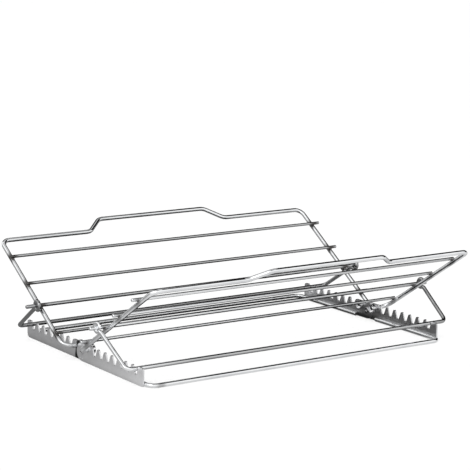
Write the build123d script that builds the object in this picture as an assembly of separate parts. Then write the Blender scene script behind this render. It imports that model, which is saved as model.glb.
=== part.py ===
from build123d import *
import math
import os

# Adjustable folding roasting rack of chrome-plated wire on notched sheet rails.
# X runs along the rack, Y from front to back and Z up.
# The origin lies on the table, midway along the hinge line that both halves share.
# The rear panel and its bail are the front ones turned half a turn about Z.

os.makedirs("parts", exist_ok=True)

# Wire diameters
panel_wire = 4.2
fill_wire = 3.0
pivot_wire = 3.5
bail_wire = 3.8
base_wire = 4.0

# Notched sheet rails, standing inside the panels' side wires
rail_inset = 6.0
rail_length = 102.5
rail_height = 16.5
rail_thickness = 1.5
front_corner_radius = 1.5
rear_corner_radius = 4.5
end_tooth_radius = 2.2
dimple_radius = 0.9
dimple_depth = 0.3
dimple_spacing = 3.8
dimple_height = 3.0

# Notches, counted from the hinge outward, with their widths as shares of the pitch
notch_count = 7
first_notch = 22.6
end_tooth_reach = 11.8
notch_depth = 8.2
notch_mouth_share = 0.773
notch_root_share = 0.15
tooth_tip_share = 0.14
land_corner_radius = 3.0

# Hollow rivets that join the lapped round ends of the rails
rivet_bore_radius = 1.2
rivet_wall = 0.6
rivet_flange_width = 1.1
rivet_flange_thickness = 0.6
rivet_edge_radius = 0.25

# The panels' pins, each through its own half's rail beside the lap, with a cap pressed on inside
pin_offset = 9.9
pin_height = 12.4
cap_radius = 4.3
cap_wall = 0.7
cap_depth = 3.0
cap_edge_radius = 0.25
pin_bend_radius = 3.6

# Panels, sized along their own slope from the hinge pin
panel_angle = 33.2
panel_width = 349.0
panel_shift = 3.5
panel_height = 139.0
panel_corner_radius = 8.0
hinge_bend_radius = 9.5
fill_wire_shares = [0.104, 0.357, 0.563, 0.821]
pivot_wire_index = 1
fill_overhang = 7.0
handle_width = 156.0
handle_rise = 15.5
handle_ramp = 17.0
handle_bend_radius = 10.0

# Bails that prop the panels from the notches
bail_eye_overhang = 8.4
bail_foot_overhang = 4.8
bail_slide = 1.2
rear_bail_slide = 5.2
bail_bend_radius = 6.0
bail_drop = 2.4
eye_lead_radius = 4.0
eye_opening = 40.0
near_pivot_overhang = 15.5
far_pivot_overhang = 16.0

# Base wires
cross_wire_reach = 7.3
arm_clearance = 6.0
base_corner_radius = 8.0

# Clearances and weld depths
lap_gap = 0.3
flange_gap = 0.15
hinge_fit = 0.08
pin_gap = 0.2
cap_gap = 0.3
press_gap = 0.02
eye_gap = 0.3
notch_gap = 0.25
weld_depth = 0.25
seam_depth = 0.02
end_chamfer = 0.4

# Places that follow from the sizes above
hinge_height = rail_height / 2
near_side = panel_width / 2 - panel_shift
far_side = panel_width / 2 + panel_shift
front_face = near_side - rail_inset
rear_face = front_face - rail_thickness - lap_gap
rivet_barrel_radius = rivet_bore_radius + rivet_wall
rivet_hole_radius = rivet_barrel_radius + hinge_fit
rivet_flange_radius = rivet_barrel_radius + rivet_flange_width
rivet_outer = front_face + flange_gap
rivet_inner = rear_face - rail_thickness - flange_gap
pin_hole_radius = panel_wire / 2 + pin_gap
cap_outer = rear_face - rail_thickness - cap_gap
cap_inner = cap_outer - cap_depth
pin_end = cap_inner + cap_wall
fill_lift = panel_wire / 2 + fill_wire / 2 - weld_depth
pivot_lift = panel_wire / 2 + pivot_wire / 2 - weld_depth
last_notch = rail_length - end_tooth_reach
notch_pitch = (last_notch - first_notch) / (notch_count - 1)
notch_root_radius = notch_root_share * notch_pitch
notch_root_height = rail_height - notch_depth + notch_root_radius

# The notch flanks' lean, touching the round root and reaching the mouth's edge
mouth_half_width = notch_mouth_share * notch_pitch / 2
mouth_rise = rail_height - notch_root_height
mouth_reach = math.hypot(mouth_half_width, mouth_rise)
taper = math.atan2(mouth_half_width, mouth_rise) - math.asin(notch_root_radius / mouth_reach)

# The pivot wire's axis and the bail's foot, as (Y, Z) on the front half
slope = math.radians(panel_angle)
pivot_along = fill_wire_shares[pivot_wire_index] * panel_height
pivot_y = -pin_offset - pivot_along * math.cos(slope) + pivot_lift * math.sin(slope)
pivot_z = pin_height + pivot_along * math.sin(slope) + pivot_lift * math.cos(slope)
eye_radius = pivot_wire / 2 + eye_gap + bail_wire / 2
eye_side = panel_width / 2 + bail_eye_overhang
bail_centre = panel_shift + bail_slide
foot_z = rail_height - bail_drop


def notch_half_width(height):
    # Half the notch's width at a height above the table, between its straight flanks.
    above = height - notch_root_height + notch_root_radius * math.sin(taper)
    return notch_root_radius * math.cos(taper) + above * math.tan(taper)


foot_inset = notch_half_width(foot_z) - (bail_wire / 2 + notch_gap) / math.cos(taper)
foot_y = -(last_notch + foot_inset)


def rounded_edges(points, radii):
    # Straight runs through the points, with an arc of its own radius at each inner corner.
    corners = [Vector(*p) for p in points]
    edges = []
    start = corners[0]
    for before, corner, after, radius in zip(corners, corners[1:], corners[2:], radii):
        back = (before - corner).normalized()
        ahead = (after - corner).normalized()
        half = math.radians(back.get_angle(ahead)) / 2
        reach = radius / math.tan(half)
        centre = corner + (back + ahead).normalized() * (radius / math.sin(half))
        arc_start = corner + back * reach
        arc_end = corner + ahead * reach
        arc_middle = centre + (corner - centre).normalized() * radius
        edges.append(Edge.make_line(start, arc_start))
        edges.append(Edge.make_three_point_arc(arc_start, arc_middle, arc_end))
        start = arc_end
    edges.append(Edge.make_line(start, corners[-1]))
    return edges


def bent_wire(edges, diameter):
    # A round wire swept along joined edges, with its two cut ends chamfered.
    path = Wire(edges)
    section = Plane(origin=path @ 0, z_dir=path % 0) * Circle(diameter / 2)
    rod = sweep(section, path=path)
    tips = [path @ 0, path @ 1]
    rims = rod.edges().filter_by(lambda e: min((e.center(CenterOf.BOUNDING_BOX) - t).length for t in tips) < 0.01)
    return chamfer(rims, end_chamfer)


def straight_wire(low_x, high_x, diameter):
    # A straight wire along X, centred on the X axis.
    rod = Rot(0, 90, 0) * Cylinder(diameter / 2, high_x - low_x)
    rod = Pos((low_x + high_x) / 2, 0, 0) * rod
    return chamfer(rod.edges().filter_by(GeomType.CIRCLE), end_chamfer)


def on_front_panel(along, lift=0.0):
    # Moves a shape on the X axis to its place along the front panel's slope.
    y = -pin_offset - along * math.cos(slope) + lift * math.sin(slope)
    z = pin_height + along * math.sin(slope) + lift * math.cos(slope)
    return Pos(0, y, z)


def notch_cutter():
    # A round root and two straight flanks that open upward past the rail's top edge.
    top = rail_height + 1
    root_x = notch_root_radius * math.cos(taper)
    root_y = notch_root_height - notch_root_radius * math.sin(taper)
    wide = notch_half_width(top)
    flanks = make_face(Polyline((-root_x, root_y), (root_x, root_y), (wide, top), (-wide, top), close=True))
    return flanks + Pos(0, notch_root_height) * Circle(notch_root_radius)


def rail_outline(corner_radius):
    # The rail seen from the side: x runs from the hinge outward and y is height.
    bar = Pos(rail_length / 2, rail_height / 2) * Rectangle(rail_length, rail_height)
    outline = bar + Pos(0, hinge_height) * Circle(rail_height / 2)
    for k in range(notch_count):
        outline -= Pos(first_notch + k * notch_pitch, 0) * notch_cutter()
    tips = outline.vertices().filter_by(
        lambda v: abs(v.Y - rail_height) < 0.01 and first_notch < v.X < rail_length - 0.01
    )
    outline = fillet(tips, tooth_tip_share * notch_pitch)
    land_corner = (first_notch - mouth_half_width, rail_height)
    outline = fillet(outline.vertices().sort_by_distance(land_corner)[0], land_corner_radius)
    outline = fillet(outline.vertices().sort_by_distance((rail_length, rail_height))[0], end_tooth_radius)
    outline = fillet(outline.vertices().sort_by_distance((rail_length, 0))[0], corner_radius)
    outline -= Pos(0, hinge_height) * Circle(rivet_hole_radius)
    return outline - Pos(pin_offset, pin_height) * Circle(pin_hole_radius)


def on_side(shape, side):
    # The right-hand piece as it is, or mirrored to the left.
    return shape if side > 0 else mirror(shape, Plane.YZ)


def front_rail(side):
    # The outer sheet of the lap, with two small spot marks under its rivet.
    plane = Plane(origin=(front_face, 0, 0), x_dir=(0, -1, 0), z_dir=(-1, 0, 0))
    sheet = extrude(plane * rail_outline(front_corner_radius), rail_thickness)
    for place in (-dimple_spacing / 2, dimple_spacing / 2):
        x = front_face + dimple_radius - dimple_depth
        sheet -= Pos(x, place, dimple_height) * Sphere(dimple_radius)
    return on_side(sheet, side)


def rear_rail(side):
    # The inner sheet of the lap.
    low_x = rear_face - rail_thickness if side > 0 else -rear_face
    plane = Plane(origin=(low_x, 0, 0), x_dir=(0, 1, 0), z_dir=(1, 0, 0))
    return extrude(plane * rail_outline(rear_corner_radius), rail_thickness)


def base_frame(y_side, rail_face):
    # The wire that joins a half's two rails: arms along their inner foot and a cross wire beyond them.
    arm_x = rail_face - rail_thickness - base_wire / 2 + seam_depth
    arm_start = y_side * (rail_height / 2 + arm_clearance)
    cross_y = y_side * (rail_length + cross_wire_reach)
    z = base_wire / 2
    points = [(-arm_x, arm_start, z), (-arm_x, cross_y, z), (arm_x, cross_y, z), (arm_x, arm_start, z)]
    return bent_wire(rounded_edges(points, [base_corner_radius] * 2), base_wire)


def turned_profile(points, edge_radius, rounded):
    # A ring turned about the X axis from its half section of (x, radius) points.
    profile = make_face(Polyline(*points, close=True))
    return revolve(fillet(profile.vertices().filter_by(rounded), edge_radius), Axis.X)


def hollow_rivet(side):
    # A tubular rivet through both lapped rails, with a rolled flange at each end.
    outer = rivet_outer + rivet_flange_thickness
    inner = rivet_inner - rivet_flange_thickness
    points = [
        (inner, rivet_bore_radius),
        (outer, rivet_bore_radius),
        (outer, rivet_flange_radius),
        (rivet_outer, rivet_flange_radius),
        (rivet_outer, rivet_barrel_radius),
        (rivet_inner, rivet_barrel_radius),
        (rivet_inner, rivet_flange_radius),
        (inner, rivet_flange_radius),
    ]
    ring = turned_profile(points, rivet_edge_radius, lambda v: v.X > outer - 0.01 or v.X < inner + 0.01)
    return on_side(Pos(0, 0, hinge_height) * ring, side)


def pin_cap(side):
    # A shallow cup pressed on a front pin inside the rails, with its open side round the pin's end.
    floor = cap_outer - cap_wall
    wall = cap_radius - cap_wall
    points = [
        (cap_outer, panel_wire / 2 + press_gap),
        (cap_outer, cap_radius),
        (cap_inner, cap_radius),
        (cap_inner, wall),
        (floor, wall),
        (floor, panel_wire / 2 + press_gap),
    ]
    ring = turned_profile(points, cap_edge_radius, lambda v: v.Y > wall - 0.01)
    return on_side(Pos(0, -pin_offset, pin_height) * ring, side)


def panel_frame():
    # One bent wire: hinge pins, side wires and a top wire that rises into the handle.
    plane = Plane(
        origin=(0, -pin_offset, pin_height),
        x_dir=(1, 0, 0),
        z_dir=(0, -math.sin(slope), -math.cos(slope)),
    )
    left = panel_shift - panel_width / 2
    right = panel_shift + panel_width / 2
    base = handle_width / 2
    crest = base - handle_ramp
    top = panel_height + handle_rise
    flat = [
        (-pin_end, 0),
        (left, 0),
        (left, panel_height),
        (panel_shift - base, panel_height),
        (panel_shift - crest, top),
        (panel_shift + crest, top),
        (panel_shift + base, panel_height),
        (right, panel_height),
        (right, 0),
        (pin_end, 0),
    ]
    radii = (
        [pin_bend_radius, panel_corner_radius]
        + [handle_bend_radius] * 4
        + [panel_corner_radius, hinge_bend_radius]
    )
    points = [plane.from_local_coords(Vector(x, y, 0)) for x, y in flat]
    return bent_wire(rounded_edges([tuple(p) for p in points], radii), panel_wire)


def fill_rod(index):
    # A lengthwise wire welded across the side wires, on the side that the food lies on.
    rod = straight_wire(-near_side - fill_overhang, far_side + panel_wire / 2, fill_wire)
    return on_front_panel(fill_wire_shares[index] * panel_height, fill_lift) * rod


def pivot_rod():
    # The lengthwise wire that also carries the bail's eyes, longer at both ends.
    rod = straight_wire(-near_side - near_pivot_overhang, far_side + far_pivot_overhang, pivot_wire)
    return on_front_panel(pivot_along, pivot_lift) * rod


def eye_edges(side, along, across):
    # A loop round the pivot wire, led in by a short reverse bend, from its open end to the leg.
    centre = Vector(bail_centre + side * eye_side, pivot_y, pivot_z)
    lead_distance = math.sqrt(eye_radius**2 + 2 * eye_radius * eye_lead_radius)
    meet = math.asin(eye_lead_radius / (eye_radius + eye_lead_radius))

    def on_loop(angle):
        return centre + (along * math.cos(angle) + across * math.sin(angle)) * eye_radius

    open_end = -math.radians(eye_opening)
    loop_end = meet - 2 * math.pi
    loop = Edge.make_three_point_arc(on_loop(open_end), on_loop((open_end + loop_end) / 2), on_loop(loop_end))
    lead_centre = centre + along * lead_distance + across * eye_lead_radius
    leg_end = centre + along * lead_distance
    swing = (math.pi / 2 - meet) / 2
    lead_middle = lead_centre - (along * math.sin(swing) + across * math.cos(swing)) * eye_lead_radius
    lead = Edge.make_three_point_arc(on_loop(loop_end), lead_middle, leg_end)
    return [loop, lead], leg_end


def bail():
    # A trapezoid of wire: the foot lies in the last notches and each leg ends in an eye.
    foot_x = panel_width / 2 + bail_foot_overhang
    reach = Vector(0, foot_y - pivot_y, foot_z - pivot_z)
    across = Vector(1, 0, 0).cross(reach).normalized()
    ends = []
    for side in (-1, 1):
        along = (reach + Vector(side * (foot_x - eye_side), 0, 0)).normalized()
        ends.append(eye_edges(side, along, across))
    (left_eye, left_end), (right_eye, right_end) = ends
    feet = [(bail_centre + side * foot_x, foot_y, foot_z) for side in (-1, 1)]
    corners = [tuple(left_end), *feet, tuple(right_end)]
    body = rounded_edges(corners, [bail_bend_radius] * 2)
    return bent_wire(left_eye + body + right_eye[::-1], bail_wire)


def turned(shape):
    # The same piece on the rear half.
    return Rot(0, 0, 180) * shape


def save(shape, node):
    export_step(shape, f"parts/{node}.step")


for name, side in (("left", -1), ("right", 1)):
    save(front_rail(side), f"front_rail_{name}")
    save(rear_rail(side), f"rear_rail_{name}")
    save(hollow_rivet(side), f"hinge_rivet_{name}")
    save(pin_cap(side), f"front_pin_cap_{name}")
    save(turned(pin_cap(-side)), f"rear_pin_cap_{name}")

save(base_frame(-1, front_face), "front_base_wire")
save(base_frame(1, rear_face), "rear_base_wire")

front_frame = panel_frame()
save(front_frame, "front_panel_frame")
save(turned(front_frame), "rear_panel_frame")

front_bail = bail()
save(front_bail, "front_bail")
save(Pos(rear_bail_slide, 0, 0) * turned(front_bail), "rear_bail")

for index in range(len(fill_wire_shares)):
    if index == pivot_wire_index:
        rod = pivot_rod()
        save(rod, "front_pivot_wire")
        save(turned(rod), "rear_pivot_wire")
    else:
        rod = fill_rod(index)
        save(rod, f"front_fill_wire_{index + 1}")
        save(turned(rod), f"rear_fill_wire_{index + 1}")
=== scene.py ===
import math

import bpy
from mathutils import Matrix, Vector


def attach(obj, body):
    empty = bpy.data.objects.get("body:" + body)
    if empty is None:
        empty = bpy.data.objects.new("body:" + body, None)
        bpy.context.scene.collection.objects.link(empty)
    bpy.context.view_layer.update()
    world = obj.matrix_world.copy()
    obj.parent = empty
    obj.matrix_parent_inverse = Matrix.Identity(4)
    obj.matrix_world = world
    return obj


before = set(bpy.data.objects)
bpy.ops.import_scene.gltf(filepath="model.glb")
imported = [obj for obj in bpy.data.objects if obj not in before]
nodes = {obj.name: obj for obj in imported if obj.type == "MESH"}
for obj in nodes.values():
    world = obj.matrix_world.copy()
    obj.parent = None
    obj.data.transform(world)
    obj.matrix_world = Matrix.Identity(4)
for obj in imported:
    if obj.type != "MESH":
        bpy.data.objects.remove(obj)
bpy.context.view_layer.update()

print("frame loaded:", len(nodes), "nodes")

# the photograph's view: places in metres, angles in degrees, lens in mm on a 36 mm sensor
cameraView = {
    "place": (-1.0085, -1.4283, 0.43865),
    "azimuth": -35.223,
    "elevation": 10.987,
    "roll": 1.288,
    "lens": 146.26,
    "farthest": 50,
}


def makeCamera():
    azimuth, elevation, roll = (
        math.radians(cameraView[angle]) for angle in ("azimuth", "elevation", "roll")
    )
    level = math.cos(elevation)
    back = Vector((math.sin(azimuth) * level, -math.cos(azimuth) * level, math.sin(elevation)))
    right = (-back).cross(Vector((0, 0, 1))).normalized()
    up = right.cross(-back)
    turnedRight = right * math.cos(roll) + up * math.sin(roll)
    turnedUp = up * math.cos(roll) - right * math.sin(roll)
    turned = Matrix((turnedRight, turnedUp, back)).transposed().to_4x4()
    camera = bpy.data.objects.new("photoCamera", bpy.data.cameras.new("photoCamera"))
    bpy.context.scene.collection.objects.link(camera)
    camera.matrix_world = Matrix.Translation(cameraView["place"]) @ turned
    camera.data.lens = cameraView["lens"]
    camera.data.clip_end = cameraView["farthest"]
    bpy.context.scene.camera = camera


makeCamera()
print("camera placed")


class Value:
    # wraps a socket, so that shader maths reads as Python
    def __init__(self, tree, socket):
        self.tree, self.socket = tree, socket

    def maths(self, operation, first, second):
        return self.tree.node("ShaderNodeMath", {"operation": operation}, {0: first, 1: second})

    def __add__(self, other):
        return self.maths("ADD", self, other)

    def __radd__(self, other):
        return self.maths("ADD", other, self)

    def __sub__(self, other):
        return self.maths("SUBTRACT", self, other)

    def __rsub__(self, other):
        return self.maths("SUBTRACT", other, self)

    def __mul__(self, other):
        return self.maths("MULTIPLY", self, other)

    def __rmul__(self, other):
        return self.maths("MULTIPLY", other, self)

    def __abs__(self):
        return self.maths("ABSOLUTE", self, 0.0)

    def highest(self, other):
        return self.maths("MAXIMUM", self, other)

    def ramp(self, low, high, start=0.0, end=1.0):
        # smooth change from start to end as the value goes from low to high
        return self.tree.node(
            "ShaderNodeMapRange",
            {"interpolation_type": "SMOOTHSTEP"},
            {"Value": self, "From Min": low, "From Max": high, "To Min": start, "To Max": end},
        )


class Tree:
    # a node tree that is filled one node at a time
    def __init__(self, nodeTree):
        self.nodeTree = nodeTree
        nodeTree.nodes.clear()

    def node(self, kind, settings=None, values=None, out=0):
        made = self.nodeTree.nodes.new(kind)
        for name, setting in (settings or {}).items():
            setattr(made, name, setting)
        for name, value in (values or {}).items():
            if isinstance(value, Value):
                self.nodeTree.links.new(value.socket, made.inputs[name])
            else:
                made.inputs[name].default_value = value
        return Value(self, made.outputs[out]) if made.outputs else None

    def place(self):
        return self.node("ShaderNodeTexCoord", out="Object")

    def along(self, vector, axis):
        return self.node("ShaderNodeSeparateXYZ", None, {"Vector": vector}, axis)

    def noise(self, vector, scale, detail, roughness):
        values = {"Vector": vector, "Scale": scale, "Detail": detail, "Roughness": roughness}
        return self.node("ShaderNodeTexNoise", None, values)

    def stretched(self, vector, scale):
        return self.node("ShaderNodeMapping", None, {"Vector": vector, "Scale": scale})

    def mixed(self, share, first, second):
        # the Mix node's colours are its seventh and eighth sockets, and its colour result the third
        values = {0: share, 6: first, 7: second}
        return self.node("ShaderNodeMix", {"data_type": "RGBA"}, values, 2)

    def rays(self, kind):
        return self.node("ShaderNodeLightPath", out="Is " + kind + " Ray")


def newMaterial(name):
    material = bpy.data.materials.new(name)
    material.use_nodes = True
    return material, Tree(material.node_tree)


def finishMetal(tree, colour, roughness, height, depth):
    bump = {"Strength": 1.0, "Distance": depth, "Height": height}
    normal = tree.node("ShaderNodeBump", None, bump)
    values = {"Base Color": colour, "Metallic": 1.0, "Roughness": roughness, "Normal": normal}
    shader = tree.node("ShaderNodeBsdfPrincipled", None, values)
    tree.node("ShaderNodeOutputMaterial", None, {"Surface": shader})


# bright chrome plate on drawn wire; its darker tone on the rear half is painted shade. Here and
# below, a pattern is a noise's scale in features per metre, its detail and its roughness, and a
# span says which part of it shows
chromePlate = {
    "front": {
        "bright": (0.90, 0.91, 0.92, 1),
        "clouded": (0.74, 0.75, 0.77, 1),
        "scorchShare": 0.45,
    },
    "rear": {
        "bright": (0.84, 0.85, 0.86, 1),
        "clouded": (0.64, 0.65, 0.66, 1),
        "scorchShare": 0.85,
    },
    "roughness": 0.035,
    "cloud": (28, 3.0, 0.5),
    "cloudSpan": (0.42, 0.68),
    "cloudShare": 0.7,
    "cloudRoughness": 0.03,
    "smudge": (210, 4.0, 0.6),
    "smudgeSpan": (0.45, 0.75),
    "smudgeRoughness": 0.05,
    "pits": (1900, 2.0, 0.5),
    "pitDepth": 0.000006,
    "paintedShadeColour": (0.22, 0.22, 0.22, 1),
    "paintedShadeShare": 0.55,
    "scorched": (0.05, 0.045, 0.04, 1),
    "scorchReach": (0.0012, 0.0070),
    "scorchSmudge": 0.15,
    "scorchRoughness": 0.22,
}


def chromeMaterial(name, half, weldPlaces=(), axis="X", shadeStretches=()):
    # the weld places are measured along the axis: X for the fill wires, Y for the side wires;
    # the last argument lists the stretches of X, in metres, over which painted shade darkens the
    # plating
    look = chromePlate
    material, tree = newMaterial(name)
    place = tree.place()
    cloud = tree.noise(place, *look["cloud"]).ramp(*look["cloudSpan"])
    smudge = tree.noise(place, *look["smudge"]).ramp(*look["smudgeSpan"])
    pits = tree.noise(place, *look["pits"])
    colour = tree.mixed(cloud * look["cloudShare"], look[half]["bright"], look[half]["clouded"])
    roughness = cloud * look["cloudRoughness"] + smudge * look["smudgeRoughness"]
    roughness = roughness + look["roughness"]
    # painted shade darkens the plating over each stretch
    for start, end in shadeStretches:
        share = tree.along(place, "X").ramp(start, end, 0.0, look["paintedShadeShare"])
        colour = tree.mixed(share, colour, look["paintedShadeColour"])
    if weldPlaces:
        along = tree.along(place, axis)
        scorch = None
        for where in weldPlaces:
            near = abs(along - where).ramp(*look["scorchReach"], 1.0, 0.0)
            scorch = near if scorch is None else scorch.highest(near)
        scorch = scorch * (smudge * look["scorchSmudge"] + look[half]["scorchShare"])
        colour = tree.mixed(scorch, colour, look["scorched"])
        roughness = roughness + scorch * look["scorchRoughness"]
    finishMetal(tree, colour, roughness, pits, look["pitDepth"])
    return material


# rolled and punched sheet: satin outside, a little smoother inside, with sheared edges in a bright
# colour that is partly painted highlight;
# depths, the hinge's place and what is measured from it or up from the table are in metres
railSheet = {
    "front": {"outer": (0.80, 0.80, 0.81, 1), "worn": (0.92, 0.92, 0.93, 1)},
    "rear": {"outer": (0.80, 0.80, 0.81, 1), "worn": (0.90, 0.90, 0.91, 1)},
    "inner": (0.86, 0.86, 0.87, 1),
    "innerCloud": (0.96, 0.96, 0.97, 1),
    "edge": (0.82, 0.82, 0.83, 1),
    "paintedShade": (0.03, 0.03, 0.03, 1),
    "outsideSpan": (-0.2, 0.2),
    "shearedSpan": (0.35, 0.75),
    "outerRoughness": 0.36,
    "innerRoughness": 0.34,
    "speckRoughness": 0.12,
    "cloud": (60, 4.0, 0.6),
    "cloudSpan": (0.4, 0.7),
    "cloudShare": 0.5,
    "speck": (700, 3.0, 0.7),
    "speckSpan": (0.45, 0.8),
    "speckShare": 0.5,
    "grain": (1.0, 3.0, 0.5),
    "grainStretch": (90, 500, 2600),
    "grainDepth": 0.00006,
    "hinge": (0.0, 0.0, 0.00825),
    "roundEnd": 0.00825,
    "rimHighlight": (0.00705, 0.00785),
    "rimHighlightStart": (0.0, 0.001),
    "seamShade": (0.0125, 0.0142),
    "seamShadeSpread": 0.0026,
    "innerLowShade": (0.001, 0.008),
    "innerLowShadeShare": 0.9,
}


def railMaterial(name, half, outward):
    # outward is the sign of X on the rail's outer face
    look = railSheet
    material, tree = newMaterial(name)
    place = tree.place()
    height = tree.along(place, "Z")
    facing = tree.along(tree.node("ShaderNodeNewGeometry", out="Normal"), "X") * outward
    outside = facing.ramp(*look["outsideSpan"])
    sheared = abs(facing).ramp(*look["shearedSpan"], 1.0, 0.0)
    grain = tree.noise(tree.stretched(place, look["grainStretch"]), *look["grain"])
    cloud = tree.noise(place, *look["cloud"]).ramp(*look["cloudSpan"])
    speck = tree.noise(place, *look["speck"]).ramp(*look["speckSpan"])
    wear = cloud * look["cloudShare"] + speck * look["speckShare"]
    outer = tree.mixed(wear, look[half]["outer"], look[half]["worn"])
    # the front rail's round end laps over the rear rail: a painted highlight along its rim, and
    # painted shade in the seam
    flat = tree.node("ShaderNodeVectorMath", {"operation": "MULTIPLY"}, {0: place, 1: (0, 1, 1)})
    ends = {0: flat, 1: look["hinge"]}
    fromHinge = tree.node("ShaderNodeVectorMath", {"operation": "DISTANCE"}, ends, "Value")
    if half == "front":
        rimHighlight = fromHinge.ramp(*look["rimHighlight"]) * tree.along(place, "Y").ramp(*look["rimHighlightStart"])
        outer = tree.mixed(rimHighlight, outer, look["edge"])
    else:
        # painted shade along the seam on the rear rail's outer face, wider towards the bottom
        spread = height.ramp(0.0, look["roundEnd"], look["seamShadeSpread"], 0.0)
        seamShade = (fromHinge - spread).ramp(*look["seamShade"], 1.0, 0.0)
        outer = tree.mixed(seamShade, outer, look["paintedShade"])
    # painted shade, nearly black low down inside
    paintedShade = height.ramp(*look["innerLowShade"], look["innerLowShadeShare"], 0.0)
    # painted light: the inner face has a lighter tone of its own than the outer face
    inner = tree.mixed(cloud, look["inner"], look["innerCloud"])
    inner = tree.mixed(paintedShade, inner, look["paintedShade"])
    colour = tree.mixed(sheared, tree.mixed(outside, inner, outer), look["edge"])
    roughness = outside * (look["outerRoughness"] - look["innerRoughness"])
    roughness = roughness + look["innerRoughness"] + speck * look["speckRoughness"]
    finishMetal(tree, colour, roughness, grain, look["grainDepth"])
    return material


# rivets of the hinge and the caps on the panels' pins, with fine turning rings
rivetSteel = {
    "colour": (0.90, 0.90, 0.91, 1),
    "rubbed": (0.60, 0.60, 0.61, 1),
    "roughness": 0.06,
    "rubRoughness": 0.15,
    "rub": (500, 4.0, 0.65),
    "rubSpan": (0.42, 0.72),
    "rings": (1.0, 2.0, 0.5),
    "ringStretch": (5000, 300, 300),
    "ringDepth": 0.00002,
}


def rivetMaterial():
    look = rivetSteel
    material, tree = newMaterial("rivetSteel")
    place = tree.place()
    rub = tree.noise(place, *look["rub"]).ramp(*look["rubSpan"])
    rings = tree.noise(tree.stretched(place, look["ringStretch"]), *look["rings"])
    colour = tree.mixed(rub, look["colour"], look["rubbed"])
    roughness = rub * look["rubRoughness"] + look["roughness"]
    finishMetal(tree, colour, roughness, rings, look["ringDepth"])
    return material


# where the fill wires cross the side wires: the panel's slope in degrees, and in metres the pin's
# Y and Z, the distances up the slope from the pin, and the side wires' X
crossings = {
    "slope": 33.2,
    "pin": (-0.0099, 0.0124),
    "along": (0.01446, 0.04962, 0.07826, 0.11412),
    "sides": (-0.171, 0.178),
}

# X in metres: painted shade deepens to the right on the front half's bail and fill wires, most on
# the bail's right leg, and covers the rear ones whole, its bail twice; one mark is on the front
# base wire
marksAndShadeAlongX = {
    "front": {
        "bailShade": ((-0.178, -0.10), (0.166, 0.176)),
        "fillShade": ((-0.178, 0.16),),
        "baseMarks": (-0.152,),
    },
    "rear": {
        "bailShade": ((-0.25, -0.20), (-0.25, -0.20)),
        "fillShade": ((-0.25, -0.20),),
        "baseMarks": (),
    },
}


def assign(node, material):
    mesh = nodes[node].data
    mesh.materials.clear()
    mesh.materials.append(material)
    for polygon in mesh.polygons:
        polygon.material_index = 0


def dressNodes():
    rise = math.radians(crossings["slope"])
    reaches = [crossings["pin"][0] - along * math.cos(rise) for along in crossings["along"]]
    crossingYs = [turn * reach for reach in reaches for turn in (1, -1)]
    rivets = rivetMaterial()
    for half, turn in (("front", 1), ("rear", -1)):
        wear = marksAndShadeAlongX[half]
        crossingXs = [turn * side for side in crossings["sides"]]
        base = chromeMaterial(half + "Wire", half, wear["baseMarks"])
        bail = chromeMaterial(half + "Bail", half, shadeStretches=wear["bailShade"])
        frameWire = chromeMaterial(half + "Frame", half, crossingYs, "Y")
        fill = chromeMaterial(half + "Fill", half, crossingXs, "X", wear["fillShade"])
        kinds = {
            "base_wire": base,
            "bail": bail,
            "panel_frame": frameWire,
            "fill": fill,
            "pivot": fill,
            "cap": rivets,
        }
        for name in nodes:
            for kind, material in kinds.items():
                if name.startswith(half) and kind in name:
                    assign(name, material)
        for side, outward in (("left", -1), ("right", 1)):
            rail = railMaterial(half + side.title() + "Rail", half, outward)
            assign(half + "_rail_" + side, rail)
    for side in ("left", "right"):
        assign("hinge_rivet_" + side, rivets)


dressNodes()
print("materials given")


# squeezed metal at the resistance welds, in metres: its half-lengths, its lift off the panel's
# plane, and its places along the insides of the rails, where the base wires' arms are welded
weldNuggets = {
    "crossing": {"length": 0.0020, "width": 0.0021, "thickness": 0.00085},
    "lift": 0.00198,
    "arm": {"length": 0.0011, "width": 0.0026, "thickness": 0.0011},
    "armHeight": 0.0030,
    "armPlaces": (0.022, 0.058, 0.094),
    "railInside": {"front": 0.1635, "rear": 0.1617},
    "unevenness": 0.15,
    "seed": 4,
    "subdivisions": 3,
    "bare": (0.18, 0.17, 0.17, 1),
    "burnt": (0.05, 0.045, 0.04, 1),
    "roughness": 0.22,
    "burnRoughness": 0.2,
    "burn": (900, 3.0, 0.6),
    "burnSpan": (0.35, 0.7),
    "ripple": (2600, 2.0, 0.5),
    "rippleDepth": 0.00003,
}


def nuggetMaterial():
    look = weldNuggets
    material, tree = newMaterial("weldNugget")
    place = tree.place()
    burn = tree.noise(place, *look["burn"]).ramp(*look["burnSpan"])
    ripple = tree.noise(place, *look["ripple"])
    colour = tree.mixed(burn, look["bare"], look["burnt"])
    roughness = burn * look["burnRoughness"] + look["roughness"]
    finishMetal(tree, colour, roughness, ripple, look["rippleDepth"])
    return material


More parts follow.
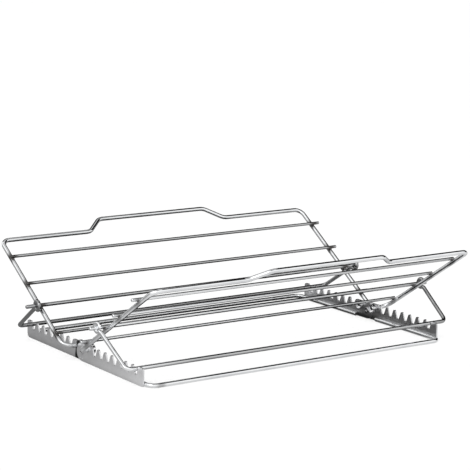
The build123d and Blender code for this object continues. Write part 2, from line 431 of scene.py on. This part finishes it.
def nuggetNodes(material):
    group = bpy.data.node_groups.new("weldNuggets", "GeometryNodeTree")
    sizes = ("Length", "Width", "Thickness", "Tilt", "Unevenness")
    kinds = {"Points": "Geometry", **dict.fromkeys(sizes, "Float")}
    for label, kind in kinds.items():
        group.interface.new_socket(label, in_out="INPUT", socket_type="NodeSocket" + kind)
    group.interface.new_socket("Nuggets", in_out="OUTPUT", socket_type="NodeSocketGeometry")
    tree = Tree(group)
    given = {label: tree.node("NodeGroupInput", out=label) for label in kinds}
    ballValues = {"Radius": 1.0, "Subdivisions": weldNuggets["subdivisions"]}
    ball = tree.node("GeometryNodeMeshIcoSphere", None, ballValues)
    smooth = tree.node("GeometryNodeSetShadeSmooth", None, {"Geometry": ball})
    axes = {"X": given["Length"], "Y": given["Width"], "Z": given["Thickness"]}
    size = tree.node("ShaderNodeCombineXYZ", None, axes)
    # the Random Value node's plain number is its second result
    spread = {
        "Min": 1 - given["Unevenness"],
        "Max": 1 + given["Unevenness"],
        "Seed": weldNuggets["seed"],
    }
    random = tree.node("FunctionNodeRandomValue", {"data_type": "FLOAT"}, spread, 1)
    scaled = {0: size, "Scale": random}
    scale = tree.node("ShaderNodeVectorMath", {"operation": "SCALE"}, scaled)
    turn = tree.node("ShaderNodeCombineXYZ", None, {"X": given["Tilt"]})
    instances = {"Points": given["Points"], "Instance": smooth, "Rotation": turn, "Scale": scale}
    placed = tree.node("GeometryNodeInstanceOnPoints", None, instances)
    real = tree.node("GeometryNodeRealizeInstances", None, {"Geometry": placed})
    finished = {"Geometry": real, "Material": material}
    dressed = tree.node("GeometryNodeSetMaterial", None, finished)
    tree.node("NodeGroupOutput", None, {"Nuggets": dressed})
    return group


def makeNuggets(name, body, points, sizes, tilt, group):
    mesh = bpy.data.meshes.new(name)
    mesh.from_pydata(points, [], [])
    piece = bpy.data.objects.new(name, mesh)
    bpy.context.scene.collection.objects.link(piece)
    modifier = piece.modifiers.new("nuggets", "NODES")
    modifier.node_group = group
    values = {
        "Length": sizes["length"],
        "Width": sizes["width"],
        "Thickness": sizes["thickness"],
        "Tilt": tilt,
        "Unevenness": weldNuggets["unevenness"],
    }
    for socket in group.interface.items_tree:
        if socket.name in values:
            modifier[socket.identifier] = values[socket.name]
    depsgraph = bpy.context.evaluated_depsgraph_get()
    solid = bpy.data.meshes.new_from_object(piece.evaluated_get(depsgraph))
    piece.modifiers.clear()
    piece.data = solid
    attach(piece, body)


def makeAllNuggets():
    group = nuggetNodes(nuggetMaterial())
    look = weldNuggets
    rise = math.radians(crossings["slope"])
    pinY, pinZ = crossings["pin"]
    for half, turn in (("front", 1), ("rear", -1)):
        points = []
        for along in crossings["along"]:
            y = pinY - along * math.cos(rise) + look["lift"] * math.sin(rise)
            z = pinZ + along * math.sin(rise) + look["lift"] * math.cos(rise)
            points += [(turn * side, turn * y, z) for side in crossings["sides"]]
        sizes, tilt = look["crossing"], -turn * rise
        makeNuggets(half + "PanelWelds", half + "_panel", points, sizes, tilt, group)
        points = [
            (side * look["railInside"][half], -turn * along, look["armHeight"])
            for along in look["armPlaces"]
            for side in (-1, 1)
        ]
        makeNuggets(half + "BaseWelds", half + "_base", points, look["arm"], 0.0, group)


makeAllNuggets()
print("welds made")


# a white table in a white room, with dark and grey places that only the metal mirrors;
# table sizes in metres, and spans of the room as parts of a direction's X, Y and Z
studio = {
    "tableSize": 12,
    "tableColour": (0.80, 0.80, 0.80, 1),
    "tableGlow": 0.34,
    "tableAlong": (-0.14, 0.05),
    "tableMirrored": (0.78, 0.34),
    "shadeAcross": (0.152, 0.175),
    "shadeAlong": (0.105, 0.145),
    "shadeMiddle": 0.025,
    "shade": 0.93,
    "railStrip": 0.172,
    "stripEdge": (0.03, 0.06),
    "stripEnd": (0.16, 0.20),
    "clear": (0.85, 0.45),
    "roomLight": 0.90,
    "darkness": 0.99,
    "darkRight": (-0.16, -0.02),
    "darkBehind": (-0.40, -0.28),
    "darkUp": (-0.01, 0.04),
    "overRight": (-0.42, -0.30),
    "overAlong": (0.40, 0.60),
    "overUp": (0.60, 0.72),
    "greyness": 0.55,
    "greyLeft": (-0.30, -0.55),
    "greyBehind": (0.10, 0.35),
    "greyUp": (0.30, 0.60),
    "brighter": 0.25,
    "brighterUp": (0.45, 0.60),
    "belowTable": 0.35,
    "belowUp": (-0.1, 0.0),
}


def makeTable():
    size = studio["tableSize"]
    corners = [(-size, -size, 0), (size, -size, 0), (size, size, 0), (-size, size, 0)]
    mesh = bpy.data.meshes.new("table")
    mesh.from_pydata(corners, [], [(0, 1, 2, 3)])
    table = bpy.data.objects.new("table", mesh)
    bpy.context.scene.collection.objects.link(table)
    material, tree = newMaterial("tableWhite")
    seen = tree.rays("Camera").highest(tree.rays("Transmission"))
    glow = tree.node("ShaderNodeEmission", None, {"Color": seen * studio["tableGlow"]})
    paint = tree.node("ShaderNodeBsdfDiffuse", None, {"Color": studio["tableColour"]})
    white = tree.node("ShaderNodeAddShader", None, {0: paint, 1: glow})
    # painted reflection: glossy rays see the table as grey light, darker behind the hinge, with
    # painted shade nearly black between the rails
    place = tree.place()
    across, along = tree.along(place, "X"), tree.along(place, "Y")
    shade = abs(across).ramp(*studio["shadeAcross"], 1.0, 0.0)
    shade = shade * abs(along - studio["shadeMiddle"]).ramp(*studio["shadeAlong"], 1.0, 0.0)
    grey = along.ramp(*studio["tableAlong"], *studio["tableMirrored"])
    grey = grey * (1 - shade * studio["shade"])
    mirrored = tree.node("ShaderNodeEmission", None, {"Color": grey})
    surfaces = {0: tree.rays("Glossy"), 1: white, 2: mirrored}
    both = tree.node("ShaderNodeMixShader", None, surfaces)
    # a half that is folded down shows through the table, which keeps the shadow beside the rails
    strip = abs(abs(across) - studio["railStrip"]).ramp(*studio["stripEdge"], 1.0, 0.0)
    strip = strip * abs(along).ramp(*studio["stripEnd"], 1.0, 0.0)
    clear = strip.ramp(0.0, 1.0, *studio["clear"]) * tree.rays("Camera")
    glass = tree.node("ShaderNodeBsdfTransparent")
    veiled = tree.node("ShaderNodeMixShader", None, {0: clear, 1: both, 2: glass})
    tree.node("ShaderNodeOutputMaterial", None, {"Surface": veiled})
    mesh.materials.append(material)


def makeWorld():
    world = bpy.data.worlds.new("studioRoom")
    world.use_nodes = True
    bpy.context.scene.world = world
    tree = Tree(world.node_tree)
    camera = tree.rays("Camera")
    glossy = tree.rays("Glossy").highest(tree.rays("Transmission"))
    direction = tree.node("ShaderNodeTexCoord", out="Generated")
    right, behind, up = (tree.along(direction, axis) for axis in "XYZ")
    # a dark wall to the right and behind, a dark panel overhead and a grey wall behind on the left
    dark = right.ramp(*studio["darkRight"]) * behind.ramp(*studio["darkBehind"])
    over = right.ramp(*studio["overRight"]) * up.ramp(*studio["overUp"])
    over = over * abs(behind).ramp(*studio["overAlong"], 1.0, 0.0)
    dark = dark.highest(over) * up.ramp(*studio["darkUp"]) * studio["darkness"]
    grey = right.ramp(*studio["greyLeft"]) * behind.ramp(*studio["greyBehind"])
    grey = grey * up.ramp(*studio["greyUp"], 1.0, 0.0)
    dark = dark.highest(grey * studio["greyness"])
    brighter = up.ramp(*studio["brighterUp"]) * studio["brighter"]
    below = up.ramp(*studio["belowUp"], studio["belowTable"], 1.0)
    mirrored = camera.highest(glossy * (1 - dark) * (1 + brighter) * below)
    plain = (1 - camera.highest(glossy)) * studio["roomLight"]
    values = {"Color": (1, 1, 1, 1), "Strength": mirrored + plain}
    shader = tree.node("ShaderNodeBackground", None, values)
    tree.node("ShaderNodeOutputWorld", None, {"Surface": shader})


# soft boxes: place and size in metres, power in watts
softBoxes = {
    "ceiling": {"place": (0.1, 0.3, 1.6), "size": 1.4, "power": 4},
    "leftFront": {"place": (-1.6, -0.9, 1.1), "size": 1.0, "power": 5},
}


def makeLights():
    for name, box in softBoxes.items():
        light = bpy.data.lights.new(name, "AREA")
        light.shape, light.size, light.energy = "SQUARE", box["size"], box["power"]
        lamp = bpy.data.objects.new(name, light)
        bpy.context.scene.collection.objects.link(lamp)
        place = Vector(box["place"])
        aimed = (-place).to_track_quat("-Z", "Y").to_matrix().to_4x4()
        lamp.matrix_world = Matrix.Translation(place) @ aimed


makeTable()
makeWorld()
makeLights()
bpy.context.scene.view_settings.view_transform = "Standard"
print("studio lit")
